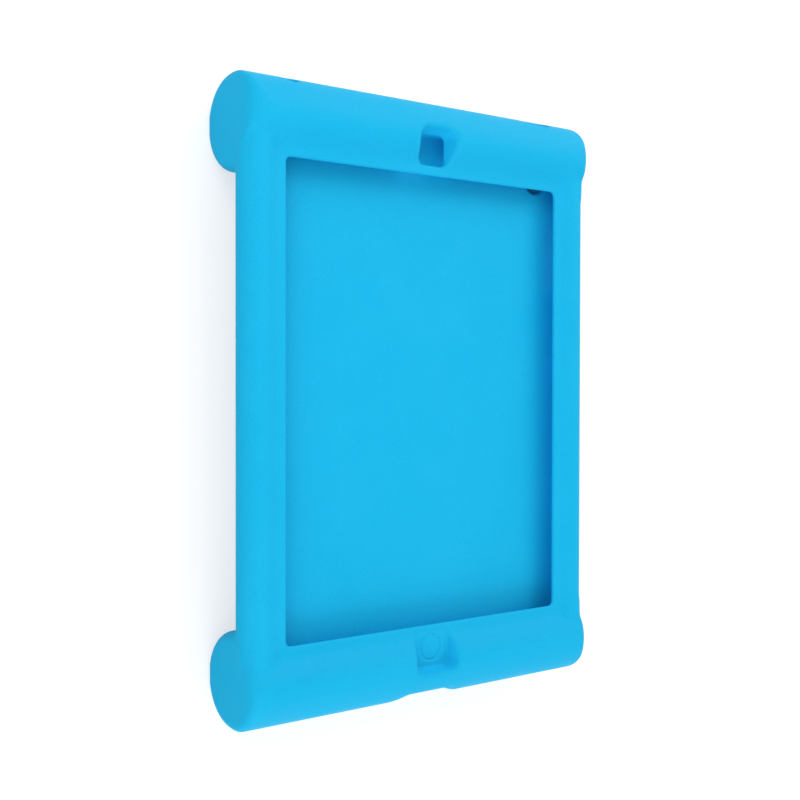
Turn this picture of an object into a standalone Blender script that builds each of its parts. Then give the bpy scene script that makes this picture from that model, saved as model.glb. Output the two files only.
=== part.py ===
"""Shockproof tablet case.

One closed-cell foam moulding: a shallow tray with a pocket behind a window, and a thick round bar across each end that
takes the shock when the case is dropped. It lies on its back, on the two bars. X is its width, Y its height as held in
front of a reader, and +Z the direction in which the window faces. The origin is under the middle, where it lies.
"""

import math

import bmesh
import bpy

# The standard size of device that the pocket and the window are moulded for
DEVICE_WIDTH = 0.1695
DEVICE_HEIGHT = 0.2400
DEVICE_THICKNESS = 0.0075
DEVICE_CORNER = 0.0105
SCREEN_WIDTH = 0.1478
SCREEN_HEIGHT = 0.1971

# The foam round the pocket
FIT_CLEARANCE = 0.0004
DEPTH_CLEARANCE = 0.0001
SIDE_WALL = 0.01085
END_WALL = 0.0147
BACK_WALL = 0.0034
LIP_THICKNESS = 0.0020

# The round bars at the two ends
BAR_DEPTH = 0.0392
BAR_HEIGHT = 0.0410
BAR_RISE = 0.0060
BAR_RISE_TURN = 0.30
BAR_END_STEP = 0.0005
BAR_END_FILLET = 0.0040
BAR_END_ROUND = 0.0080
CREST_SHIFT = 0.0029
FOOT_FLAT = 0.0080
BAR_INNER_ROUND = 0.0080

# The side rails, and the flat lip round the window
RAIL_RISE = 0.00266
LIP_FLAT_END = 0.0025
LIP_FLAT_SIDE = 0.0025
WINDOW_MARGIN_X = 0.0024
WINDOW_MARGIN_Y = 0.00195
WINDOW_CORNER = 0.0025
LIP_EDGE_ROUND = 0.0008

# The camera opening in the top bar's front
CAMERA_WIDTH = 0.0150
CAMERA_HEIGHT = 0.0132
CAMERA_LIP = 0.00475
CAMERA_CORNER = 0.0028
CAMERA_FLARE = 0.40

# The button recess in the bottom bar's front, with its thin floor and the ring moulded into it
BUTTON_WIDTH = 0.0200
BUTTON_HEIGHT = 0.0168
BUTTON_LIP = 0.0021
BUTTON_CORNER = 0.0035
BUTTON_FLOOR_DROP = 0.0004
BUTTON_FLARE = 0.42
RING_FROM_SCREEN = 0.01235
RING_RADIUS = 0.0057
RING_WIDTH = 0.0010
RING_DEPTH = 0.0005

# The notch in the bottom bar, and the slot that a charging plug goes through
NOTCH_MOUTH = 0.0390
NOTCH_FLOOR = 0.0230
NOTCH_DEPTH = 0.0042
PLUG_WIDTH = 0.0150
PLUG_HEIGHT = 0.0070

# The other openings into the pocket's edges; the distances start at the device's sides and ends
HEADPHONE_FROM_SIDE = 0.0135
HEADPHONE_BORE = 0.0066
POWER_FROM_SIDE = 0.0165
POWER_WIDTH = 0.0160
POWER_HEIGHT = 0.0060
VOLUME_FROM_END = 0.0480
VOLUME_LENGTH = 0.0350
VOLUME_HEIGHT = 0.0070

# The camera opening in the back wall
REAR_CAMERA_FROM_SIDE = 0.0126
REAR_CAMERA_FROM_END = 0.0126
REAR_CAMERA_BORE = 0.0140
REAR_CAMERA_FLARE = 0.32

# How finely curves are cut into facets
QUARTER_STEPS = 10
RISE_STEPS = 8
BAR_RISE_STEPS = 12
CORNER_STEPS = 5
END_STEPS = 8
RING_STEPS = 40
OVERSHOOT = 0.0040

FOAM_COLOUR = (0.020, 0.491, 0.847, 1.0)
FOAM_ROUGHNESS = 0.62

# Places worked out from the sizes above
POCKET_X = DEVICE_WIDTH / 2 + FIT_CLEARANCE
POCKET_Y = DEVICE_HEIGHT / 2 + FIT_CLEARANCE
OUTER_X = POCKET_X + SIDE_WALL
OUTER_Y = POCKET_Y + END_WALL
WINDOW_X = SCREEN_WIDTH / 2 + WINDOW_MARGIN_X
WINDOW_Y = SCREEN_HEIGHT / 2 + WINDOW_MARGIN_Y
LIP_FRONT = BAR_DEPTH - BAR_RISE
LIP_BACK = LIP_FRONT - LIP_THICKNESS
POCKET_FLOOR = LIP_BACK - DEVICE_THICKNESS - DEPTH_CLEARANCE
BACK = POCKET_FLOOR - BACK_WALL
DEVICE_MIDDLE = (LIP_BACK + POCKET_FLOOR) / 2
RAIL_TOP = LIP_FRONT + RAIL_RISE
RAIL_ROUND = (RAIL_TOP - BACK) / 2
RAIL_CREST_X = OUTER_X - RAIL_ROUND
BAR_Y = OUTER_Y - BAR_HEIGHT / 2
BAR_END_X = OUTER_X - BAR_END_STEP
FOOT_ANGLE = math.asin(FOOT_FLAT / BAR_HEIGHT)
BAR_HALF_DEPTH = BAR_DEPTH / (1 + math.cos(FOOT_ANGLE))
BAR_Z = BAR_DEPTH - BAR_HALF_DEPTH


def clear_scene():
    for item in list(bpy.data.objects):
        bpy.data.objects.remove(item, do_unlink=True)


def ease(t):
    """The S-shaped rise from 0 to 1 that is level at both ends."""
    return t * t * (3 - 2 * t)


def arc(centre, half_axes, start, stop, steps):
    """Points along part of an ellipse, both ends included; angles in radians, from the first axis."""
    found = []
    for i in range(steps + 1):
        angle = start + (stop - start) * i / steps
        found.append((centre[0] + half_axes[0] * math.cos(angle), centre[1] + half_axes[1] * math.sin(angle)))
    return found


def turned_ease(t, turn):
    """A rise from 0 to 1 in two parabolas, level at both ends, which turns over at the given share of its length."""
    if t < turn:
        return t * t / turn
    return 1 - (1 - t) * (1 - t) / (1 - turn)


def rise(start, stop, steps, turn=None):
    """Points of an S-shaped rise between two points, without its two ends."""
    found = []
    for i in range(1, steps):
        t = i / steps
        share = ease(t) if turn is None else turned_ease(t, turn)
        found.append((start[0] + (stop[0] - start[0]) * t, start[1] + (stop[1] - start[1]) * share))
    return found


def rounded_outline(half_width, half_height, corner, grow=0.0, centre=(0.0, 0.0)):
    """A rectangle with round corners, its sides moved out by grow."""
    radius = min(corner, half_width, half_height) + grow
    x = half_width + grow - radius
    y = half_height + grow - radius
    points = []
    for quadrant, (side_x, side_y) in enumerate(((1, 1), (-1, 1), (-1, -1), (1, -1))):
        middle = (centre[0] + side_x * x, centre[1] + side_y * y)
        start = quadrant * math.pi / 2
        points += arc(middle, (radius, radius), start, start + math.pi / 2, CORNER_STEPS)
    return points


def loft(name, rings):
    """A closed solid through rings of equally many points, with flat ends."""
    mesh = bpy.data.meshes.new(name)
    shape = bmesh.new()
    loops = [[shape.verts.new(point) for point in ring] for ring in rings]
    count = len(rings[0])
    for lower, upper in zip(loops, loops[1:]):
        for i in range(count):
            j = (i + 1) % count
            shape.faces.new((lower[i], lower[j], upper[j], upper[i]))
    shape.faces.new(loops[0])
    shape.faces.new(loops[-1])
    bmesh.ops.remove_doubles(shape, verts=shape.verts, dist=1e-6)
    bmesh.ops.recalc_face_normals(shape, faces=shape.faces)
    shape.to_mesh(mesh)
    shape.free()
    mesh.shade_smooth()
    mesh.set_sharp_from_angle(angle=math.radians(35))
    thing = bpy.data.objects.new(name, mesh)
    bpy.context.scene.collection.objects.link(thing)
    return thing


def tool(thing):
    """Marks a solid that only joins or cuts another one."""
    thing.hide_render = True
    thing.display_type = "WIRE"
    return thing


def along_z(name, layers):
    """A tool from outlines in X and Y, each with its height."""
    return tool(loft(name, [[(x, y, z) for x, y in outline] for outline, z in layers]))


def along_y(name, layers):
    """A tool from outlines in X and Z, each with its place along Y."""
    return tool(loft(name, [[(x, y, z) for x, z in outline] for outline, y in layers]))


def along_x(name, layers):
    """A tool from outlines in Y and Z, each with its place along X."""
    return tool(loft(name, [[(x, y, z) for y, z in outline] for outline, x in layers]))


def combine(body, other, operation):
    modifier = body.modifiers.new(other.name, "BOOLEAN")
    modifier.operation = operation
    modifier.object = other
    modifier.solver = "EXACT"


def tray():
    """The part between the bars: back, side rails and lip in one section, with the rails' outer sides half round."""
    flat_x = WINDOW_X + LIP_FLAT_SIDE
    middle_z = BACK + RAIL_ROUND
    half_turn = arc((RAIL_CREST_X, middle_z), (RAIL_ROUND, RAIL_ROUND), -math.pi / 2, math.pi / 2, 2 * QUARTER_STEPS)
    slope = rise((RAIL_CREST_X, RAIL_TOP), (flat_x, LIP_FRONT), RISE_STEPS)
    right = half_turn + slope + [(flat_x, LIP_FRONT)]
    section = right + [(-x, z) for x, z in reversed(right)]
    return loft("case_body", [[(x, y, z) for x, z in section] for y in (-BAR_Y, BAR_Y)])


def bar_section():
    """Half-way section of an end bar, for the bar on the +Y side: the rise from the lip to the crest, steepest near
    the lip, an outer side and a back in quarter ellipses, a narrow flat to rest on, and the inner side up to the
    lip. The rise starts a flat lip's width from the window, or past the rounding of the inner side where the bar
    lies farther out."""
    inner_y = BAR_Y - BAR_HEIGHT / 2
    inner_round = min(BAR_INNER_ROUND, LIP_FRONT - BAR_Z)
    crest = (BAR_Y + CREST_SHIFT, BAR_DEPTH)
    lip = (max(WINDOW_Y + LIP_FLAT_END, inner_y + inner_round), LIP_FRONT)
    front_axes = (OUTER_Y - crest[0], BAR_HALF_DEPTH)
    back_axes = (BAR_HEIGHT / 2, BAR_HALF_DEPTH)
    foot = math.pi / 2 - FOOT_ANGLE
    corner = (inner_y + inner_round, LIP_FRONT - inner_round)
    points = [lip] + rise(lip, crest, BAR_RISE_STEPS, BAR_RISE_TURN)
    points += arc((crest[0], BAR_Z), front_axes, math.pi / 2, 0, QUARTER_STEPS)
    points += arc((BAR_Y, BAR_Z), back_axes, 0, -foot, QUARTER_STEPS)[1:]
    points += arc((BAR_Y, BAR_Z), back_axes, foot - math.pi, -math.pi, QUARTER_STEPS)
    points += arc(corner, (inner_round, inner_round), math.pi, math.pi / 2, CORNER_STEPS)
    return points


def bar_ring(inset, side):
    """The bar's section at some distance in from its end. The rim of the flat end is rounded, so the section shrinks
    there. In front a larger round goes on over the end from the rails' sides: it starts at the height of their middle
    and lowers the section's crest."""
    overlap = max(0.0, 1 - inset / BAR_END_FILLET)
    shrink = BAR_END_FILLET * (1 - math.sqrt(1 - overlap * overlap))
    scale_y = 1 - shrink / (BAR_HEIGHT / 2)
    scale_z = 1 - shrink / BAR_HALF_DEPTH
    middle = BACK + RAIL_ROUND
    reach = max(0.0, 1 - inset / BAR_END_ROUND)
    top = middle + (BAR_DEPTH - middle) * math.sqrt(1 - reach * reach)
    full = max(z for y, z in bar_section())
    share = (top - middle) / (full - middle)
    ring = []
    for y, z in bar_section():
        low_z = BAR_Z + (z - BAR_Z) * scale_z
        if low_z > middle:
            low_z = middle + (low_z - middle) * share
        ring.append((side * (BAR_Y + (y - BAR_Y) * scale_y), low_z))
    return ring


def bar(name, side):
    """An end bar: rings close together over the last stretch to each end, one long stretch between them."""
    layers = []
    for end in (-1, 1):
        stations = []
        for i in range(END_STEPS + 1):
            inset = BAR_END_ROUND * (1 - math.sin(math.pi / 2 * i / END_STEPS))
            stations.append((bar_ring(inset, side), end * (BAR_END_X - inset)))
        layers += stations[::-1] if end < 0 else stations
    return along_x(name, layers)


def pocket():
    outline = rounded_outline(POCKET_X, POCKET_Y, DEVICE_CORNER + FIT_CLEARANCE)
    return along_z("pocket_tool", [(outline, POCKET_FLOOR), (outline, LIP_BACK)])


def window():
    """The window in the front, whose front edge is rounded off."""
    layers = [(rounded_outline(WINDOW_X, WINDOW_Y, WINDOW_CORNER), LIP_BACK - LIP_THICKNESS)]
    for degrees in (0, 35, 70):
        angle = math.radians(degrees)
        grow = LIP_EDGE_ROUND * (1 - math.cos(angle))
        z = LIP_FRONT - LIP_EDGE_ROUND * (1 - math.sin(angle))
        layers.append((rounded_outline(WINDOW_X, WINDOW_Y, WINDOW_CORNER, grow), z))
    layers.append((rounded_outline(WINDOW_X, WINDOW_Y, WINDOW_CORNER, LIP_EDGE_ROUND), BAR_DEPTH))
    return along_z("window_tool", layers)


def front_camera():
    centre = (0.0, WINDOW_Y + CAMERA_LIP + CAMERA_HEIGHT / 2)
    layers = []
    for z in (LIP_BACK - LIP_THICKNESS, LIP_BACK, BAR_DEPTH + OVERSHOOT):
        grow = max(0.0, z - LIP_BACK) * CAMERA_FLARE
        layers.append((rounded_outline(CAMERA_WIDTH / 2, CAMERA_HEIGHT / 2, CAMERA_CORNER, grow, centre), z))
    return along_z("front_camera_tool", layers)


def button_recess():
    """Opens the bottom bar's front down to a thin floor, a little below the lip's front."""
    floor = LIP_FRONT - BUTTON_FLOOR_DROP
    half_height = BUTTON_HEIGHT / 2
    centre = (0.0, -(WINDOW_Y + BUTTON_LIP + half_height))
    top = BAR_DEPTH + OVERSHOOT
    layers = []
    for z in (floor, top):
        grow = (z - floor) * BUTTON_FLARE
        layers.append((rounded_outline(BUTTON_WIDTH / 2, half_height, BUTTON_CORNER, grow, centre), z))
    return along_z("button_recess_tool", layers)


def button_ring():
    """A shallow groove that marks the button on the recess's floor."""
    mesh = bpy.data.meshes.new("button_ring_tool")
    shape = bmesh.new()
    floor = LIP_FRONT - BUTTON_FLOOR_DROP
    centre_y = -SCREEN_HEIGHT / 2 - RING_FROM_SCREEN
    section = (
        (RING_RADIUS - RING_WIDTH / 2, floor + RING_DEPTH),
        (RING_RADIUS + RING_WIDTH / 2, floor + RING_DEPTH),
        (RING_RADIUS + RING_WIDTH / 2, floor),
        (RING_RADIUS + RING_WIDTH / 4, floor - RING_DEPTH),
        (RING_RADIUS - RING_WIDTH / 4, floor - RING_DEPTH),
        (RING_RADIUS - RING_WIDTH / 2, floor),
    )
    rings = []
    for i in range(RING_STEPS):
        angle = 2 * math.pi * i / RING_STEPS
        ring = [shape.verts.new((r * math.cos(angle), centre_y + r * math.sin(angle), z)) for r, z in section]
        rings.append(ring)
    for i, ring in enumerate(rings):
        following = rings[(i + 1) % RING_STEPS]
        for k in range(len(section)):
            m = (k + 1) % len(section)
            shape.faces.new((ring[k], ring[m], following[m], following[k]))
    bmesh.ops.recalc_face_normals(shape, faces=shape.faces)
    shape.to_mesh(mesh)
    shape.free()
    thing = bpy.data.objects.new("button_ring_tool", mesh)
    bpy.context.scene.collection.objects.link(thing)
    return tool(thing)


def plug_notch():
    """A saddle across the bottom bar's underside, between S-shaped ramps, that lets a plug's body come close."""
    floor_y = -(OUTER_Y - NOTCH_DEPTH)
    mouth = (NOTCH_MOUTH / 2, -OUTER_Y)
    floor = (NOTCH_FLOOR / 2, floor_y)
    beyond = -(OUTER_Y + OVERSHOOT)
    right = [(mouth[0], beyond), mouth] + rise(mouth, floor, RISE_STEPS) + [floor]
    outline = right + [(-x, y) for x, y in reversed(right)]
    return along_z("plug_notch_tool", [(outline, -OVERSHOOT), (outline, BAR_DEPTH)])


def edge_opening(name, side, x, half_width, half_height):
    """An opening with half-round ends, from the pocket's end straight through an end bar."""
    outline = rounded_outline(half_width, half_height, half_height, 0.0, (x, DEVICE_MIDDLE))
    return along_y(name, [(outline, side * (POCKET_Y - OVERSHOOT)), (outline, side * (OUTER_Y + OVERSHOOT))])


def plug_slot():
    return edge_opening("plug_slot_tool", -1, 0.0, PLUG_WIDTH / 2, PLUG_HEIGHT / 2)


def headphone_hole():
    x = -(DEVICE_WIDTH / 2 - HEADPHONE_FROM_SIDE)
    return edge_opening("headphone_tool", 1, x, HEADPHONE_BORE / 2, HEADPHONE_BORE / 2)


def power_slot():
    x = DEVICE_WIDTH / 2 - POWER_FROM_SIDE
    return edge_opening("power_tool", 1, x, POWER_WIDTH / 2, POWER_HEIGHT / 2)


def volume_slot():
    """The opening with half-round ends through the right-hand rail, over the volume keys."""
    centre = (DEVICE_HEIGHT / 2 - VOLUME_FROM_END, DEVICE_MIDDLE)
    outline = rounded_outline(VOLUME_LENGTH / 2, VOLUME_HEIGHT / 2, VOLUME_HEIGHT / 2, 0.0, centre)
    return along_x("volume_tool", [(outline, POCKET_X - OVERSHOOT), (outline, OUTER_X + OVERSHOOT)])


def rear_camera():
    """A hole in the back wall that widens backwards into a scoop out of the top bar's inner side."""
    radius = REAR_CAMERA_BORE / 2
    x = DEVICE_WIDTH / 2 - REAR_CAMERA_FROM_SIDE
    y = DEVICE_HEIGHT / 2 - REAR_CAMERA_FROM_END
    layers = []
    for z in (POCKET_FLOOR + BACK_WALL, BACK, -OVERSHOOT):
        grow = max(0.0, BACK - z) * REAR_CAMERA_FLARE
        open_side = 0.0 if grow == 0.0 else BAR_HEIGHT / 2
        centre = (x, y - open_side / 2)
        outline = rounded_outline(radius, radius + open_side / 2, radius, grow, centre)
        layers.append((outline, z))
    return along_z("rear_camera_tool", layers)


def foam():
    material = bpy.data.materials.new("blue_foam")
    material.use_nodes = True
    shader = material.node_tree.nodes["Principled BSDF"]
    shader.inputs["Base Color"].default_value = FOAM_COLOUR
    shader.inputs["Roughness"].default_value = FOAM_ROUGHNESS
    shader.inputs["Metallic"].default_value = 0.0
    return material


def build():
    clear_scene()
    body = tray()
    for other in (bar("top_bar", 1), bar("bottom_bar", -1)):
        combine(body, other, "UNION")
    cutters = [
        pocket(),
        window(),
        front_camera(),
        button_recess(),
        button_ring(),
        plug_notch(),
        plug_slot(),
        headphone_hole(),
        power_slot(),
        volume_slot(),
        rear_camera(),
    ]
    for cutter in cutters:
        combine(body, cutter, "DIFFERENCE")
    body.data.materials.append(foam())


build()
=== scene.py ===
# %% [markdown]
# # Shockproof tablet case
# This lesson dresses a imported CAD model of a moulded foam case. The real case is one piece of closed-cell foam: a
# shallow tray with a window, and a thick round bar across each end. It lies on its back, on the two bars. Nothing in
# it is sewn, glued or screwed, so the lesson makes one skin and gives it one good foam finish.

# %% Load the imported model
import math

import bpy
import bmesh
import numpy as np
from mathutils import Matrix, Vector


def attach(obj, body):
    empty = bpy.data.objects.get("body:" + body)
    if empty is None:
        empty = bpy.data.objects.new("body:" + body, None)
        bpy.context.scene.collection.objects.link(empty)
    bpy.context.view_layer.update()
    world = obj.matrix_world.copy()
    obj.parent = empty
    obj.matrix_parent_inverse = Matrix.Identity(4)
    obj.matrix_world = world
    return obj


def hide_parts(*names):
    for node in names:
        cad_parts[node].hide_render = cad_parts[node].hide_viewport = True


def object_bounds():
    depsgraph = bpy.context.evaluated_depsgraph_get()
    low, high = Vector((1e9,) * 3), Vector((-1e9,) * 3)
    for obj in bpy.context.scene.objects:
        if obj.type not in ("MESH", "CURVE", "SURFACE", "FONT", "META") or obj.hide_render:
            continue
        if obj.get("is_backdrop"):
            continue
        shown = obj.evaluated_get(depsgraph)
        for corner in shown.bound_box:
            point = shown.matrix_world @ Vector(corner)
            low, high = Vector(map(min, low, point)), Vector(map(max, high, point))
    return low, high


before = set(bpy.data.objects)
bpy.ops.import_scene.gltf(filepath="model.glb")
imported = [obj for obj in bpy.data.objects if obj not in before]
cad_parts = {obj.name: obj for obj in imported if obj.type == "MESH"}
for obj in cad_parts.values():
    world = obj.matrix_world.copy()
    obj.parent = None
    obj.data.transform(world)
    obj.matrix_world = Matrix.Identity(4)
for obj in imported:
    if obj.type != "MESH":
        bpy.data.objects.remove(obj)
cad_low, cad_high = (list(corner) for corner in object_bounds())
MM = 1000.0
OUTER_X, OUTER_Y, BAR_DEPTH = (value * MM for value in cad_high)
print("CAD box in mm:", [round(value * MM, 1) for value in cad_low + cad_high])

# %% [markdown]
# ## The camera
# The photograph looks at the case from its left. The case lies down here, so the camera stands over it, to the left,
# and is turned so that the top bar is at the top of the picture. Its place comes from the four corners of the window:
# a rectangle of known size shows how far away and how far round the camera stood. The three directions of the camera
# (right, up and backwards) are the columns of its rotation.

# %% Camera
CAMERA_PLACE = (-0.3368, 0.0092, 0.4497)
CAMERA_YAW = math.radians(37.43)
CAMERA_PITCH = math.radians(-0.949)
CAMERA_ROLL = math.radians(0.106)
FOCAL_PIXELS = 1197.4
IMAGE_PIXELS = 800.0
SENSOR_MM = 36.0
NEAREST_SEEN, FARTHEST_SEEN = 0.01, 20.0


def add_camera():
    """The view direction is (sin yaw cos pitch, sin pitch, -cos yaw cos pitch). Right has no Y, and up is their cross
    product; a small roll then turns both. The lens is the focal length in pixels times the sensor's width over the
    picture's width."""
    forward = np.array(
        [
            math.sin(CAMERA_YAW) * math.cos(CAMERA_PITCH),
            math.sin(CAMERA_PITCH),
            -math.cos(CAMERA_YAW) * math.cos(CAMERA_PITCH),
        ]
    )
    right = np.array([math.cos(CAMERA_YAW), 0.0, math.sin(CAMERA_YAW)])
    up = np.cross(right, forward)
    cos_roll, sin_roll = math.cos(CAMERA_ROLL), math.sin(CAMERA_ROLL)
    right, up = cos_roll * right + sin_roll * up, cos_roll * up - sin_roll * right
    columns = np.eye(4)
    columns[:3, 0], columns[:3, 1], columns[:3, 2], columns[:3, 3] = right, up, -forward, CAMERA_PLACE
    data = bpy.data.cameras.new("camera")
    data.sensor_width = SENSOR_MM
    data.lens = FOCAL_PIXELS * SENSOR_MM / IMAGE_PIXELS
    data.clip_start, data.clip_end = NEAREST_SEEN, FARTHEST_SEEN
    camera = bpy.data.objects.new("camera", data)
    camera.matrix_world = Matrix(columns.tolist())
    bpy.context.scene.collection.objects.link(camera)
    bpy.context.scene.camera = camera
    return camera


print("camera lens:", round(add_camera().data.lens, 2), "mm")

# %% [markdown]
# ## The foam as a distance field
# Moulded foam has no hard edges: every wall runs into the next through a soft round. Bevels on a cut CAD mesh fail
# where ten openings meet thin walls. So the skin is worked out another way, as a distance field. A function gives, for
# any point, how far it is from the foam's surface, and is negative inside. Two shapes are joined by taking the smaller
# distance, and one is cut from another by taking the larger of one and minus the other. If the smaller or larger is
# taken smoothly, over a few tenths of a millimetre or a few millimetres, the edge comes out round, as it leaves a
# mould. All lengths below are millimetres. A hair is a length too small to see, where a zero would do no good.

# %% Sizes of the moulding, in millimetres
HAIR = 0.01
POCKET_X, POCKET_Y, POCKET_CORNER = 85.15, 120.4, 10.9
POCKET_FLOOR, LIP_BACK, LIP_FRONT, BACK = 23.6, 31.2, 33.2, 20.2
POCKET_MIDDLE = (POCKET_FLOOR + LIP_BACK) / 2
WINDOW_X, WINDOW_Y, WINDOW_CORNER = 76.3, 100.5, 2.5
RAIL_TOP, RAIL_ROUND, RAIL_CREST_X, RAIL_SLOPE_FOOT = 35.86, 7.83, 88.17, 78.8
TRAY_END, TRAY_DRAW_IN, TRAY_DRAW_DOWN = 118.0, 1.8, 3.0
BAR_HEIGHT, BAR_CREST_SHIFT, BAR_FOOT_FLAT, BAR_INNER_ROUND = 41.0, 2.9, 8.0, 8.0
BAR_END_STEP, BAR_END_FILLET, BAR_FRONT_FILLET = 0.5, 4.5, 3.0
BAR_SHOULDER_LENGTH, BAR_SHOULDER_DEPTH, BAR_SHOULDER_FOOT = 4.2, 9.5, 29.6
BAR_SLOPE_FOOT, BAR_SLOPE_TURN = 103.0, 0.30
BAR_Y = OUTER_Y - BAR_HEIGHT / 2
BAR_END_X = OUTER_X - BAR_END_STEP
print("middle line of the end bars at Y =", round(BAR_Y, 2))


# %% Curves and smooth joints
CURVE_STEPS = 28


def rise(value, start=0.0, stop=1.0):
    """The S-shaped rise from 0 to 1 while a value goes from start to stop, level at both ends: 3 t squared - 2 t cubed,
    where t is the share of the way, held between 0 and 1."""
    t = np.clip((value - start) / (stop - start), 0.0, 1.0)
    return t * t * (3.0 - 2.0 * t)


def smooth_min(a, b, k):
    """The smaller of two distances, with a soft joint where they differ by less than k: the straight mix of the two,
    less k h (1 - h), where h runs from 0 to 1 over the joint."""
    h = np.clip(0.5 + 0.5 * (b - a) / k, 0.0, 1.0)
    return b + (a - b) * h - k * h * (1.0 - h)


def smooth_max(a, b, k):
    """The larger of two distances, with a soft joint: minus the smooth smaller of the two with their signs changed."""
    return -smooth_min(-a, -b, k)


def cut(foam, shape, k):
    """Foam with a shape taken out of it, its rim rounded over about k."""
    return smooth_max(foam, -shape, k)


def arc(centre, half_axes, start, stop, steps=CURVE_STEPS):
    """Points on an ellipse: centre plus half axes times the cosine and sine of an angle in degrees."""
    angle = np.radians(np.linspace(start, stop, steps))
    return np.stack([centre[0] + half_axes[0] * np.cos(angle), centre[1] + half_axes[1] * np.sin(angle)], axis=1)


def slope(start, stop, turn=None, steps=CURVE_STEPS):
    """Points of an S-shaped rise between two points. With a turn, the S is two parabolas that meet at that share of the
    length: t squared / turn up to it, then 1 - (1 - t) squared / (1 - turn)."""
    t = np.linspace(0.0, 1.0, steps)
    share = rise(t)
    if turn is not None:
        share = np.where(t < turn, t**2 / turn, 1.0 - (1.0 - t) ** 2 / (1.0 - turn))
    return np.stack([start[0] + (stop[0] - start[0]) * t, start[1] + (stop[1] - start[1]) * share], axis=1)


print("half-way up the S-shaped rise:", float(rise(5.0, 0.0, 10.0)))

# %% [markdown]
# ## Two drawn sections
# The tray between the bars has one section all the way up: half-round rails outside, a soft slope down to the flat
# lip round the window, and a flat back. Each bar has one section all the way across: the slope up from the lip, a
# crest, an oval outer side, a narrow flat to lie on and a rounded inner side. Both are drawn as closed outlines. The
# distance to an outline is costly, so it is worked out once on a fine grid in the plane, and read back from there.


# %% Section outlines
def tray_section():
    """Half the tray, seen along Y; it reaches past the middle so that its closing side is never the nearest one."""
    middle_z = BACK + RAIL_ROUND
    past_middle = -20.0
    return np.concatenate(
        [
            arc((RAIL_CREST_X, middle_z), (RAIL_ROUND, RAIL_TOP - middle_z), -90, 90, 2 * CURVE_STEPS),
            slope((RAIL_CREST_X, RAIL_TOP), (RAIL_SLOPE_FOOT, LIP_FRONT))[1:],
            [(past_middle, LIP_FRONT), (past_middle, BACK)],
        ]
    )


def bar_section():
    """The bar on the +Y side, seen along X, made of quarter ellipses round a centre half its depth up."""
    foot = math.degrees(math.asin(BAR_FOOT_FLAT / BAR_HEIGHT))
    half_depth = BAR_DEPTH / (1 + math.cos(math.radians(foot)))
    centre_z = BAR_DEPTH - half_depth
    inner_y = BAR_Y - BAR_HEIGHT / 2
    crest = (BAR_Y + BAR_CREST_SHIFT, BAR_DEPTH)
    corner = (inner_y + BAR_INNER_ROUND, LIP_FRONT - BAR_INNER_ROUND)
    corner_steps = 10
    back_axes = (BAR_HEIGHT / 2, half_depth)
    return np.concatenate(
        [
            slope((BAR_SLOPE_FOOT, LIP_FRONT), crest, BAR_SLOPE_TURN),
            arc((crest[0], centre_z), (OUTER_Y - crest[0], half_depth), 90, 0)[1:],
            arc((BAR_Y, centre_z), back_axes, 0, foot - 90)[1:],
            arc((BAR_Y, centre_z), back_axes, -90 - foot, -180),
            arc(corner, (BAR_INNER_ROUND, BAR_INNER_ROUND), 180, 90, corner_steps),
        ]
    )


print("section points:", len(tray_section()), "for the tray and", len(bar_section()), "for a bar")

# %% Distance tables
TABLE_STEP = 0.2
TABLE_BACK, TABLE_FRONT = -4.0, 44.0


def distance_table(outline, low, high):
    """Signed distances to a closed outline on a fine grid. The nearest point of a side is the grid point's projection
    on it, held between its ends. A point is inside where a line to its right crosses an odd number of sides."""
    a = np.arange(low[0], high[0] + TABLE_STEP, TABLE_STEP)
    b = np.arange(low[1], high[1] + TABLE_STEP, TABLE_STEP)
    grid_a, grid_b = np.meshgrid(a, b, indexing="ij")
    nearest = np.full(grid_a.shape, np.inf)
    crossings = np.zeros(grid_a.shape, bool)
    never_zero = 1e-12
    for (a0, b0), (a1, b1) in zip(outline, np.roll(outline, -1, axis=0)):
        side_a, side_b = a1 - a0, b1 - b0
        share = ((grid_a - a0) * side_a + (grid_b - b0) * side_b) / max(side_a**2 + side_b**2, never_zero)
        share = np.clip(share, 0.0, 1.0)
        gap = np.hypot(grid_a - a0 - share * side_a, grid_b - b0 - share * side_b)
        nearest = np.minimum(nearest, gap)
        if b0 != b1:
            spans = (grid_b > min(b0, b1)) & (grid_b <= max(b0, b1))
            crossings ^= spans & (grid_a < a0 + (grid_b - b0) * side_a / side_b)
    return low, np.where(crossings, -nearest, nearest)


def read_table(table, a, b):
    """Distance at any point, from the four grid points round it, each weighted by its nearness. A point beyond the
    table is read just inside its last line."""
    low, values = table
    last_line = 1.001
    at_a = np.clip((a - low[0]) / TABLE_STEP, 0.0, values.shape[0] - last_line)
    at_b = np.clip((b - low[1]) / TABLE_STEP, 0.0, values.shape[1] - last_line)
    i, j = at_a.astype(int), at_b.astype(int)
    s, t = at_a - i, at_b - j
    lower = values[i, j] * (1 - t) + values[i, j + 1] * t
    upper = values[i + 1, j] * (1 - t) + values[i + 1, j + 1] * t
    return lower * (1 - s) + upper * s


tray_table = distance_table(tray_section(), (-1.0, TABLE_BACK), (102.0, TABLE_FRONT))
bar_table = distance_table(bar_section(), (60.0, TABLE_BACK), (141.0, TABLE_FRONT))
print("deepest point of a bar:", round(float(-bar_table[1].min()), 1), "mm under its surface")

# %% [markdown]
# ## Body of the case
# The rails pass over the bars' flat ends and stand a little proud of them, with a crisp crease, and sink away towards
# the bars' crests. In front the rails flow into the bars through a wide soft hollow, while the lip round the window
# stays flat, so the joint's softness depends on the place. Behind, the bars grow out of the flat back with a round.

# %% Body field
# Softness of the joint between tray and bars: over the rails, behind, and how much of it goes at the crease
RAIL_JOINT, BACK_JOINT, CREASE = 4.5, 5.0, 4.2


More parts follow.
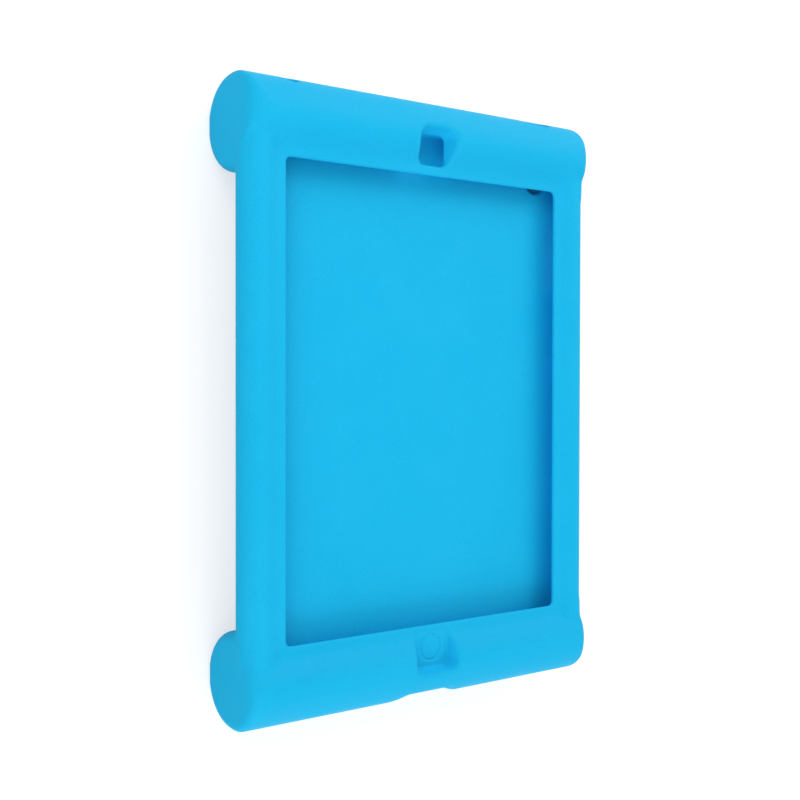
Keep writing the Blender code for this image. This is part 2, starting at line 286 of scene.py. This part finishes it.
def past_bar_end(x, z):
    """How far a point lies beyond a bar's end, measured along X. The end is flat behind. In front it leans back over a
    quarter of an ellipse, the shoulder, which carries the rails' rounding on; the ellipse stops short of level, where
    it would be endlessly steep. The amount is divided by the length of the leaning direction, which makes it a
    distance."""
    short_of_level = 0.97
    up = np.clip((z - BAR_SHOULDER_FOOT) / BAR_SHOULDER_DEPTH, 0.0, short_of_level)
    level = np.sqrt(1.0 - up**2)
    lean_back = BAR_SHOULDER_LENGTH * (1.0 - level)
    steepness = BAR_SHOULDER_LENGTH / BAR_SHOULDER_DEPTH * up / level
    return (np.abs(x) - BAR_END_X + lean_back) / np.hypot(1.0, steepness)


def bar_distance(x, y, z):
    """The bar's section carried along X. Outside both the shrunken section and the shrunken length, the distance is
    the length of the two overshoots less the fillet, which rounds the rims of the ends, more behind than in front."""
    fillet = BAR_END_FILLET + (BAR_FRONT_FILLET - BAR_END_FILLET) * rise(z, 16.0, 28.0)
    past_section = read_table(bar_table, np.abs(y), z) + fillet
    past_end = past_bar_end(x, z) + fillet
    outside = np.hypot(np.maximum(past_section, 0.0), np.maximum(past_end, 0.0))
    return outside + np.minimum(np.maximum(past_section, past_end), 0.0) - fillet


def tray_distance(x, y, z):
    """The tray's section carried along Y. Near its ends the rails draw in, by an S-shaped amount, under the bars."""
    draw_in = TRAY_DRAW_IN * rise(np.abs(y), 103.0, 115.0)
    draw_down = TRAY_DRAW_DOWN * rise(np.abs(y), 104.0, 114.0)
    return np.maximum(read_table(tray_table, np.abs(x) + draw_in, z + draw_down), np.abs(y) - TRAY_END)


def body_distance(x, y, z):
    """The tray and the bars joined. The joint is hard over the flat lip, wide over the rails, narrow at the crease
    beside the bars' ends, and wide behind."""
    front = HAIR + RAIL_JOINT * rise(np.abs(x), 79.0, 86.0) - CREASE * rise(np.abs(x), 92.5, 95.0)
    behind = BACK_JOINT - CREASE * rise(np.abs(x), 90.0, 95.0)
    softness = behind + (front - behind) * rise(z, 22.0, 26.0)
    joined = smooth_min(tray_distance(x, y, z), bar_distance(x, y, z), softness)
    return np.maximum(joined, np.abs(x) - OUTER_X)


rail_middle = [np.array([value]) for value in (-OUTER_X, 0.0, BACK + RAIL_ROUND)]
print("at the left rail's middle:", round(float(body_distance(*rail_middle)[0]), 3), "mm from the surface")


# %% [markdown]
# ## Openings
# Each opening is a rounded outline that runs through the foam. A flare makes the outline grow with depth, which
# leans its sides out, as a mould needs. Dividing by the length of the leaning direction keeps the distance true. The
# pocket, the lip's edge and the small holes get a tight round, and the recess, the notch and the openings that a
# finger goes through get a soft one.


# %% Sizes of the openings, in millimetres
CAMERA_Y, CAMERA_HALF_X, CAMERA_HALF_Y, CAMERA_CORNER, CAMERA_FLARE = 111.85, 7.5, 6.6, 2.8, 0.40
RECESS_Y, RECESS_HALF_X, RECESS_HALF_Y, RECESS_CORNER, RECESS_FLARE = -111.0, 9.4, 8.4, 3.2, 0.45
BUTTON_Y, BUTTON_FLOOR = -110.6, 32.8
RING_RADIUS, RING_WIDTH, RING_DEPTH = 5.7, 0.55, 0.5
DOME_WIDTH, DOME_HEIGHT = 3.6, 0.25
NOTCH_DEPTH, NOTCH_FLOOR_X, NOTCH_MOUTH_X = 4.6, 11.5, 20.5
NOTCH_CLEAR, NOTCH_CLEAR_FROM, NOTCH_CLEAR_TO, NOTCH_STEEPNESS = 3.0, 18.5, 22.5, 1.25
VOLUME_Y, VOLUME_HALF_LENGTH, VOLUME_HALF_HEIGHT = 72.0, 17.5, 3.5
REAR_X, REAR_Y, REAR_RADIUS, REAR_FLARE, REAR_STRETCH = 72.15, 107.4, 7.0, 0.32, 0.4351
INSIDE_POCKET = 4.0

# Each slot in a bar: which end it is at (1 for the top), the X of its middle, half its width and half its height
PLUG_SLOT = (-1, 0.0, 7.5, 3.5)
HEADPHONE_HOLE = (1, -71.25, 3.3, 3.3)
POWER_SLOT = (1, 68.25, 8.0, 3.0)

# How wide the round on each rim is, and on the edges inside the recess and the pocket
NOTCH_RIM, RECESS_RIM, FINGER_RIM, PLUG_RIM, SMALL_RIM = 1.2, 1.6, 1.4, 1.0, 0.6
POCKET_RIM, WINDOW_RIM, CAMERA_RIM, RECESS_JOINT, POCKET_JOINT = 0.5, 1.1, 0.7, 0.5, 1.0
print("button ring:", 2 * RING_RADIUS, "mm across, moulded", RING_DEPTH, "mm deep")


# %% Outline helpers
def rounded_box(a, b, half_a, half_b, corner):
    """Distance to a rectangle with round corners: the overshoots past its core, less the corner radius."""
    past_a = np.abs(a) - (half_a - corner)
    past_b = np.abs(b) - (half_b - corner)
    outside = np.hypot(np.maximum(past_a, 0.0), np.maximum(past_b, 0.0))
    return outside + np.minimum(np.maximum(past_a, past_b), 0.0) - corner


def lean(outline, depth, flare):
    """An outline that grows by flare for each millimetre of depth."""
    return (outline - flare * np.maximum(depth, 0.0)) / math.hypot(1.0, flare)


sharp_corner = rounded_box(5.0, 3.0, 5.0, 3.0, 2.0)
print("a 2 mm round takes the corner back by", round(float(sharp_corner), 2), "mm")


# %% Openings in the front
def pocket(x, y, z):
    """A box with round corners, between the back wall and the lip."""
    outline = rounded_box(x, y, POCKET_X, POCKET_Y, POCKET_CORNER)
    return smooth_max(outline, np.abs(z - POCKET_MIDDLE) - (LIP_BACK - POCKET_FLOOR) / 2, POCKET_JOINT)


def window(x, y, z):
    """A rectangle with small round corners, from the middle of the pocket forwards."""
    return np.maximum(rounded_box(x, y, WINDOW_X, WINDOW_Y, WINDOW_CORNER), POCKET_MIDDLE - z)


def front_camera_opening(x, y, z):
    """A rounded opening in the top bar, which grows from the lip's back forwards."""
    outline = rounded_box(x, y - CAMERA_Y, CAMERA_HALF_X, CAMERA_HALF_Y, CAMERA_CORNER)
    return np.maximum(lean(outline, z - LIP_BACK, CAMERA_FLARE), POCKET_MIDDLE - z)


def camera_rim(z):
    """The round on the camera opening's rim, a millimetre wider up on the bar than at the lip."""
    return CAMERA_RIM + 1.0 * rise(z, LIP_FRONT, LIP_FRONT + 3.0)


def button_recess(x, y, z):
    """A flared recess with a thin floor. Its floor carries a ring-shaped groove, as a bell curve of the distance from
    the ring, and a low dome inside the ring."""
    away = np.hypot(x, y - BUTTON_Y)
    groove = RING_DEPTH * np.exp(-(((away - RING_RADIUS) / RING_WIDTH) ** 2))
    dome = DOME_HEIGHT * np.exp(-((away / DOME_WIDTH) ** 2))
    floor = BUTTON_FLOOR - groove + dome - z
    outline = rounded_box(x, y - RECESS_Y, RECESS_HALF_X, RECESS_HALF_Y, RECESS_CORNER)
    return smooth_max(lean(outline, z - BUTTON_FLOOR, RECESS_FLARE), floor, RECESS_JOINT)


print("the window's shape starts", round(LIP_FRONT - POCKET_MIDDLE, 1), "mm behind the lip's front")


# %% Openings at the edges and behind
def plug_notch(x, y, z):
    """A saddle across the bottom bar's underside. Its depth is the same over its floor and fades in an S to its mouth.
    Farther out the depth goes on below zero, which takes the cut clear of the bar."""
    depth = NOTCH_DEPTH * (1.0 - rise(np.abs(x), NOTCH_FLOOR_X, NOTCH_MOUTH_X))
    depth = depth - NOTCH_CLEAR * rise(np.abs(x), NOTCH_CLEAR_FROM, NOTCH_CLEAR_TO)
    return (y + OUTER_Y - depth) / NOTCH_STEEPNESS


def edge_slot(x, y, z, side, middle_x, half_width, half_height):
    """An opening from the pocket straight out through a bar, with half-round ends."""
    outline = rounded_box(x - middle_x, z - POCKET_MIDDLE, half_width, half_height, half_height - HAIR)
    return np.maximum(outline, POCKET_Y - INSIDE_POCKET - side * y)


def volume_opening(x, y, z):
    """An opening with half-round ends through the right-hand rail."""
    corner = VOLUME_HALF_HEIGHT - HAIR
    outline = rounded_box(y - VOLUME_Y, z - POCKET_MIDDLE, VOLUME_HALF_LENGTH, VOLUME_HALF_HEIGHT, corner)
    return np.maximum(outline, POCKET_X - INSIDE_POCKET - x)


def rear_camera_opening(x, y, z):
    """A round hole in the back wall. Farther back it turns into a capsule that opens towards the flat back."""
    depth = np.maximum(BACK - z, 0.0)
    stretch = REAR_STRETCH * depth
    outline = np.hypot(x - REAR_X, np.maximum(np.abs(y - REAR_Y + stretch) - stretch, 0.0)) - REAR_RADIUS
    return np.maximum(lean(outline, BACK - z, REAR_FLARE), z - POCKET_MIDDLE)


plug_middle = edge_slot(0.0, -OUTER_Y, POCKET_MIDDLE, *PLUG_SLOT)
print("middle of the plug slot:", round(-float(plug_middle), 1), "mm from the slot's walls")


# %% The whole field
def foam_distance(x, y, z):
    """Signed distance to the finished case: the body, less every opening."""
    foam = body_distance(x, y, z)
    foam = cut(foam, plug_notch(x, y, z), NOTCH_RIM)
    foam = cut(foam, button_recess(x, y, z), RECESS_RIM)
    foam = cut(foam, pocket(x, y, z), POCKET_RIM)
    foam = cut(foam, window(x, y, z), WINDOW_RIM)
    foam = cut(foam, front_camera_opening(x, y, z), camera_rim(z))
    for slot, rim in ((PLUG_SLOT, PLUG_RIM), (HEADPHONE_HOLE, SMALL_RIM), (POWER_SLOT, SMALL_RIM)):
        foam = cut(foam, edge_slot(x, y, z, *slot), rim)
    foam = cut(foam, volume_opening(x, y, z), FINGER_RIM)
    return cut(foam, rear_camera_opening(x, y, z), FINGER_RIM)


pocket_middle = [np.array([value]) for value in (0.0, 0.0, POCKET_MIDDLE)]
print("middle of the pocket:", round(float(foam_distance(*pocket_middle)[0]), 2), "mm from the foam")

# %% [markdown]
# ## From field to mesh
# A grid of points is laid through the case, close together where the shape is fine and far apart where it is flat.
# Every cell that the surface passes through gets one vertex, at the mean of the places where its edges are crossed,
# and every crossed edge gets a quad between the four cells round it. This is called surface nets. A march down the
# field's own slope then puts each vertex exactly on the surface. Blender's voxel remesh does the same with equal
# cells, but would need millions of them for a lip that is two millimetres thick.


# %% Grid lines
def graded(stops):
    """Grid lines between stops, each given as (place, spacing up to the next stop)."""
    runs = []
    for (start, spacing), (stop, _) in zip(stops, stops[1:]):
        runs.append(np.linspace(start, stop, math.ceil((stop - start) / spacing) + 1)[:-1])
    return np.concatenate(runs + [[stops[-1][0]]])


def mirrored(lines):
    """The same lines on both sides of the middle."""
    return np.concatenate([-lines[:0:-1], lines])


# X is fine over the recess and the camera opening, at the small slots, and finest at the window's sides
half_x = [(0, 0.8), (14, 1.2), (22, 2.4), (39, 1.2), (44, 2.4), (60, 1.25), (74.9, 0.5), (78.1, 1.2), (98.3, 1)]
# Y is fine at the window's ends and over the bars, and between them at the volume opening's ends
end_y = [(93, 1.2), (99.1, 0.5), (102.1, 0.92), (121, 1.3), (138, 1)]
middle_y = [(-93, 6.0), (50, 1.3), (58, 4.5), (86, 1.3), (93, 1)]
# Z is fine at the back wall and the lip
all_z = [(-1.5, 1.5), (0.2, 1.5), (18.5, 0.72), (19.8, 0.57), (23.8, 0.95), (30.6, 0.55), (34.2, 0.85), (40.8, 1)]
lines_x = mirrored(graded(half_x))
lines_y = np.concatenate([-graded(end_y)[::-1], graded(middle_y)[1:-1], graded(end_y)])
lines_z = graded(all_z)
print("grid:", len(lines_x), "x", len(lines_y), "x", len(lines_z), "lines")


# %% Surface nets
def surface_nets(lines, field):
    """Vertices and quads of the surface where the field is zero. On an edge from f0 to f1 the crossing lies at the
    share f0 / (f0 - f1) of the way. A quad is turned so that it faces from the negative side to the positive one."""
    shape = np.array(field.shape) - 1
    total = np.zeros((*shape, 3))
    count = np.zeros(shape)
    quads = []
    cell = np.arange(shape.prod()).reshape(shape)
    places = np.meshgrid(*lines, indexing="ij")
    for axis in range(3):
        others = [(axis + 1) % 3, (axis + 2) % 3]
        first = [slice(None)] * 3
        second = [slice(None)] * 3
        first[axis], second[axis] = slice(None, -1), slice(1, None)
        f0, f1 = field[tuple(first)], field[tuple(second)]
        crossed = (f0 < 0) != (f1 < 0)
        share = np.where(crossed, f0 / np.where(crossed, f0 - f1, 1.0), 0.0)
        points = np.stack([p[tuple(first)] + (p[tuple(second)] - p[tuple(first)]) * share for p in places], axis=-1)
        points *= crossed[..., None]
        for low_a in (0, 1):
            for low_b in (0, 1):
                part = [slice(None)] * 3
                part[others[0]] = slice(low_a, low_a + shape[others[0]])
                part[others[1]] = slice(low_b, low_b + shape[others[1]])
                total += points[tuple(part)]
                count += crossed[tuple(part)]
        where = np.argwhere(crossed)
        inner = np.all((where[:, others] > 0) & (where[:, others] < shape[others]), axis=1)
        where = where[inner]
        corners = []
        for step_a, step_b in ((1, 1), (0, 1), (0, 0), (1, 0)):
            index = where.copy()
            index[:, others[0]] -= step_a
            index[:, others[1]] -= step_b
            corners.append(cell[tuple(index.T)])
        quad = np.stack(corners, axis=1)
        outward = f0[tuple(where.T)] < 0
        quads.append(np.where(outward[:, None], quad, quad[:, ::-1]))
    used = count > 0
    numbers = np.full(cell.size, -1)
    numbers[cell[used]] = np.arange(used.sum())
    return total[used] / count[used][:, None], numbers[np.concatenate(quads)]


grid_points = np.meshgrid(lines_x, lines_y, lines_z, indexing="ij")
vertices, quads = surface_nets((lines_x, lines_y, lines_z), foam_distance(*grid_points))
print("skin:", len(vertices), "vertices and", len(quads), "quads")


# %% Put every vertex on the surface
def onto_surface(points, rounds=4, reach=0.35):
    """Each round moves a point by its distance over the slope's length, against the slope, and no farther than reach.
    The slope is measured between points a small step to either side, along each axis. Where it is nearly flat, it is
    taken to be a little steeper, so that a point doesn't run off."""
    points = points.copy()
    small = 0.04
    least_slope = 0.3
    for _ in range(rounds):
        here = foam_distance(*points.T)
        slopes = []
        for axis in range(3):
            step = np.zeros(3)
            step[axis] = small
            slopes.append((foam_distance(*(points + step).T) - foam_distance(*(points - step).T)) / (2 * small))
        slopes = np.stack(slopes, axis=1)
        length = np.maximum(np.linalg.norm(slopes, axis=1), least_slope)
        move = np.clip(here / length, -reach, reach)
        points -= slopes / length[:, None] * move[:, None]
    return points


vertices = onto_surface(vertices)
print("largest distance left:", round(float(np.abs(foam_distance(*vertices.T)).max()), 4), "mm")

# %% The case's skin as an object
NEAR_RING = RING_RADIUS + 2.6
NEAR_RING_LOW, NEAR_RING_HIGH = LIP_FRONT - 1.2, 34.5


def mesh_object(name, points, faces):
    """A mesh from millimetre points, smooth-shaded, with its place in the mesh and its object at the origin."""
    mesh = bpy.data.meshes.new(name)
    mesh.from_pydata((points / MM).tolist(), [], faces.tolist())
    mesh.shade_smooth()
    piece = bpy.data.objects.new(name, mesh)
    bpy.context.scene.collection.objects.link(piece)
    return piece


def refine_ring(piece):
    """Cuts the quads round the button ring into smaller ones, then puts the new vertices on the surface. An edge is
    near the ring where its middle is."""
    shape = bmesh.new()
    shape.from_mesh(piece.data)
    near = []
    for edge in shape.edges:
        a, b = edge.verts[0].co, edge.verts[1].co
        x, y, z = ((start + end) * MM / 2 for start, end in zip(a, b))
        if math.hypot(x, y - BUTTON_Y) < NEAR_RING and NEAR_RING_LOW < z < NEAR_RING_HIGH:
            near.append(edge)
    bmesh.ops.subdivide_edges(shape, edges=near, cuts=2, use_grid_fill=True)
    shape.to_mesh(piece.data)
    shape.free()
    flat = np.empty(len(piece.data.vertices) * 3)
    piece.data.vertices.foreach_get("co", flat)
    points = onto_surface(flat.reshape(-1, 3) * MM, rounds=3)
    piece.data.vertices.foreach_set("co", (points / MM).ravel())
    piece.data.update()


case = mesh_object("case_foam", vertices, quads)
refine_ring(case)
case.data.calc_loop_triangles()
print("case_foam:", len(case.data.loop_triangles), "triangles")

# %% [markdown]
# ## The foam's finish
# Closed-cell foam is coloured all through, so its colour is one even blue. What makes it foam and not plastic is the
# skin: satin rather than glossy, with a fine grain of closed cells about a third of a millimetre across, and faint
# clouds where the sheet was pressed harder. Two noises of different size move the colour a little, the clouds also
# move the roughness, and cells and grain make the bump.

# %% Foam material
DEEP_BLUE = (0.006, 0.468, 0.807, 1.0)
PALE_BLUE = (0.009, 0.482, 0.823, 1.0)
CLOUD_SHARE = (0.32, 0.68)


def set_inputs(node, **values):
    """Sets a node's inputs by name, with an underscore for each space, and gives the node back."""
    for name, value in values.items():
        node.inputs[name.replace("_", " ")].default_value = value
    return node


def mapped(nodes, links, source, low, high):
    """The noise's usual range, 0.3 to 0.7, stretched to run from low to high."""
    spread = set_inputs(nodes.new("ShaderNodeMapRange"), From_Min=0.3, From_Max=0.7, To_Min=low, To_Max=high)
    links.new(source, spread.inputs["Value"])
    return spread.outputs["Result"]


def foam_finish():
    """Principled shader: colour = a deeper blue mixed towards a paler one by cloud noise, times a speckle from the
    grain; roughness = 0.5 to 0.66 by the clouds; bump = small rounded cells plus the grain, wider and weaker."""
    material = bpy.data.materials.new("satin_blue_foam")
    material.use_nodes = True
    nodes, links = material.node_tree.nodes, material.node_tree.links
    shader = nodes["Principled BSDF"]
    place = nodes.new("ShaderNodeTexCoord").outputs["Object"]

    clouds = set_inputs(nodes.new("ShaderNodeTexNoise"), Scale=38.0, Detail=4.0, Roughness=0.55)
    grain = set_inputs(nodes.new("ShaderNodeTexNoise"), Scale=900.0, Detail=3.0)
    cells = nodes.new("ShaderNodeTexVoronoi")
    cells.feature = "SMOOTH_F1"
    set_inputs(cells, Scale=2600.0, Smoothness=0.6)
    for texture in (clouds, grain, cells):
        links.new(place, texture.inputs["Vector"])

    cloud_colour = nodes.new("ShaderNodeValToRGB")
    stops = cloud_colour.color_ramp.elements
    stops[0].position, stops[1].position = CLOUD_SHARE
    stops[0].color, stops[1].color = DEEP_BLUE, PALE_BLUE
    links.new(clouds.outputs["Fac"], cloud_colour.inputs["Fac"])
    shade = nodes.new("ShaderNodeVectorMath")
    shade.operation = "SCALE"
    links.new(cloud_colour.outputs["Color"], shade.inputs[0])
    links.new(mapped(nodes, links, grain.outputs["Fac"], 0.965, 1.025), shade.inputs["Scale"])
    links.new(shade.outputs["Vector"], shader.inputs["Base Color"])

    links.new(mapped(nodes, links, clouds.outputs["Fac"], 0.50, 0.66), shader.inputs["Roughness"])

    cell_bump = set_inputs(nodes.new("ShaderNodeBump"), Strength=0.25, Distance=0.00006)
    links.new(cells.outputs["Distance"], cell_bump.inputs["Height"])
    grain_bump = set_inputs(nodes.new("ShaderNodeBump"), Strength=0.35, Distance=0.00025)
    links.new(grain.outputs["Fac"], grain_bump.inputs["Height"])
    links.new(cell_bump.outputs["Normal"], grain_bump.inputs["Normal"])
    links.new(grain_bump.outputs["Normal"], shader.inputs["Normal"])

    set_inputs(shader, Specular_IOR_Level=0.10)
    return material


case.data.materials.append(foam_finish())
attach(case, "root")
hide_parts("case_body")
print("finish:", case.data.materials[0].name)

# %% [markdown]
# ## Floor and light
# The photograph is cut out on white. Here the case lies on a plain pale floor, which keeps a soft shadow. To a camera
# ray the floor adds a little glow of its own, so that it comes out white without more light on the foam. Large soft
# lamps stand round the case: one past each bar, one to the left, and a small near one over the top left corner, which
# is the brightest in the photograph. A plain world fills the shadows, so that the colours come out about as they are
# written. To a camera ray the world is white too, so that a view across the floor shows no more than a faint horizon,
# where the floor lies far from the lamps.

# %% Sizes and strengths of the stage
FLOOR_RADIUS, FLOOR_SIDES = 6000.0, 48
FLOOR_GREY, FLOOR_GLOW = 0.55, 0.60
WORLD_LIGHT, WORLD_GLOW = 0.55, 0.45
WHITE = (1.0, 1.0, 1.0, 1.0)
LAMP_TARGET = (0.0, 0.0, 0.02)

# Each lamp: its name, its place and size in metres, and its power in watts
LAMPS = [
    ("top_right_lamp", (0.70, 0.95, 0.65), 1.0, 8.2),
    ("bottom_lamp", (0.0, -1.20, 0.62), 1.0, 6.5),
    ("left_lamp", (-0.92, -0.80, 0.55), 1.0, 4.0),
    ("near_left_lamp", (-0.50, 0.40, 0.45), 0.4, 1.2),
]
print("power of all lamps:", round(sum(lamp[3] for lamp in LAMPS), 1), "W")


# %% Rays that see the white
def glow_strength(nodes, links, plain, extra):
    """A strength of plain for the light on the foam, and of plain + extra for what the camera sees directly, in a
    gloss or through something clear: plain + extra (Is Camera Ray + Is Glossy Ray + Is Transmission Ray)."""
    rays = nodes.new("ShaderNodeLightPath")
    total = rays.outputs["Is Camera Ray"]
    for kind in ("Is Glossy Ray", "Is Transmission Ray"):
        add = nodes.new("ShaderNodeMath")
        add.operation = "ADD"
        links.new(total, add.inputs[0])
        links.new(rays.outputs[kind], add.inputs[1])
        total = add.outputs[0]
    level = nodes.new("ShaderNodeMath")
    level.operation = "MULTIPLY_ADD"
    level.inputs[1].default_value = extra
    level.inputs[2].default_value = plain
    links.new(total, level.inputs[0])
    return level.outputs[0]


# %% Floor
def add_floor():
    """A disc, far wider than the view. Its look is a grey that takes light and shadow plus the glow."""
    angle = np.linspace(0.0, 2 * np.pi, FLOOR_SIDES, endpoint=False)
    rim = np.stack([FLOOR_RADIUS * np.cos(angle), FLOOR_RADIUS * np.sin(angle), np.zeros(FLOOR_SIDES)], axis=1)
    floor = mesh_object("floor", rim, np.arange(FLOOR_SIDES)[None, :])
    material = bpy.data.materials.new("pale_floor")
    material.use_nodes = True
    nodes, links = material.node_tree.nodes, material.node_tree.links
    nodes.clear()
    diffuse = set_inputs(nodes.new("ShaderNodeBsdfDiffuse"), Color=(FLOOR_GREY, FLOOR_GREY, FLOOR_GREY, 1.0))
    glow = set_inputs(nodes.new("ShaderNodeEmission"), Color=WHITE)
    links.new(glow_strength(nodes, links, 0.0, FLOOR_GLOW), glow.inputs["Strength"])
    both = nodes.new("ShaderNodeAddShader")
    links.new(diffuse.outputs[0], both.inputs[0])
    links.new(glow.outputs[0], both.inputs[1])
    output = nodes.new("ShaderNodeOutputMaterial")
    links.new(both.outputs[0], output.inputs["Surface"])
    floor.data.materials.append(material)
    floor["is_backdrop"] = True
    return floor


print("floor:", add_floor().name)


# %% Lamps and world
def add_lamp(name, place, size, power):
    """A square area lamp that faces the case."""
    data = bpy.data.lights.new(name, "AREA")
    data.shape = "SQUARE"
    data.size = size
    data.energy = power
    lamp = bpy.data.objects.new(name, data)
    direction = np.array(LAMP_TARGET, float) - np.array(place, float)
    direction /= np.linalg.norm(direction)
    side = np.cross(direction, (0.0, 0.0, 1.0))
    side /= np.linalg.norm(side)
    columns = np.eye(4)
    columns[:3, 0], columns[:3, 1], columns[:3, 2] = side, np.cross(side, direction), -direction
    columns[:3, 3] = place
    lamp.matrix_world = Matrix(columns.tolist())
    bpy.context.scene.collection.objects.link(lamp)
    return lamp


def add_world():
    """A world of one colour, whose strength depends on the ray."""
    world = bpy.data.worlds.new("studio")
    world.use_nodes = True
    nodes, links = world.node_tree.nodes, world.node_tree.links
    background = set_inputs(nodes["Background"], Color=WHITE)
    links.new(glow_strength(nodes, links, WORLD_LIGHT, WORLD_GLOW), background.inputs["Strength"])
    bpy.context.scene.world = world
    return world


lamps = [add_lamp(*lamp) for lamp in LAMPS]
print("world:", add_world().name, "and lamps:", [lamp.name for lamp in lamps])
bpy.context.scene.view_settings.view_transform = "Standard"
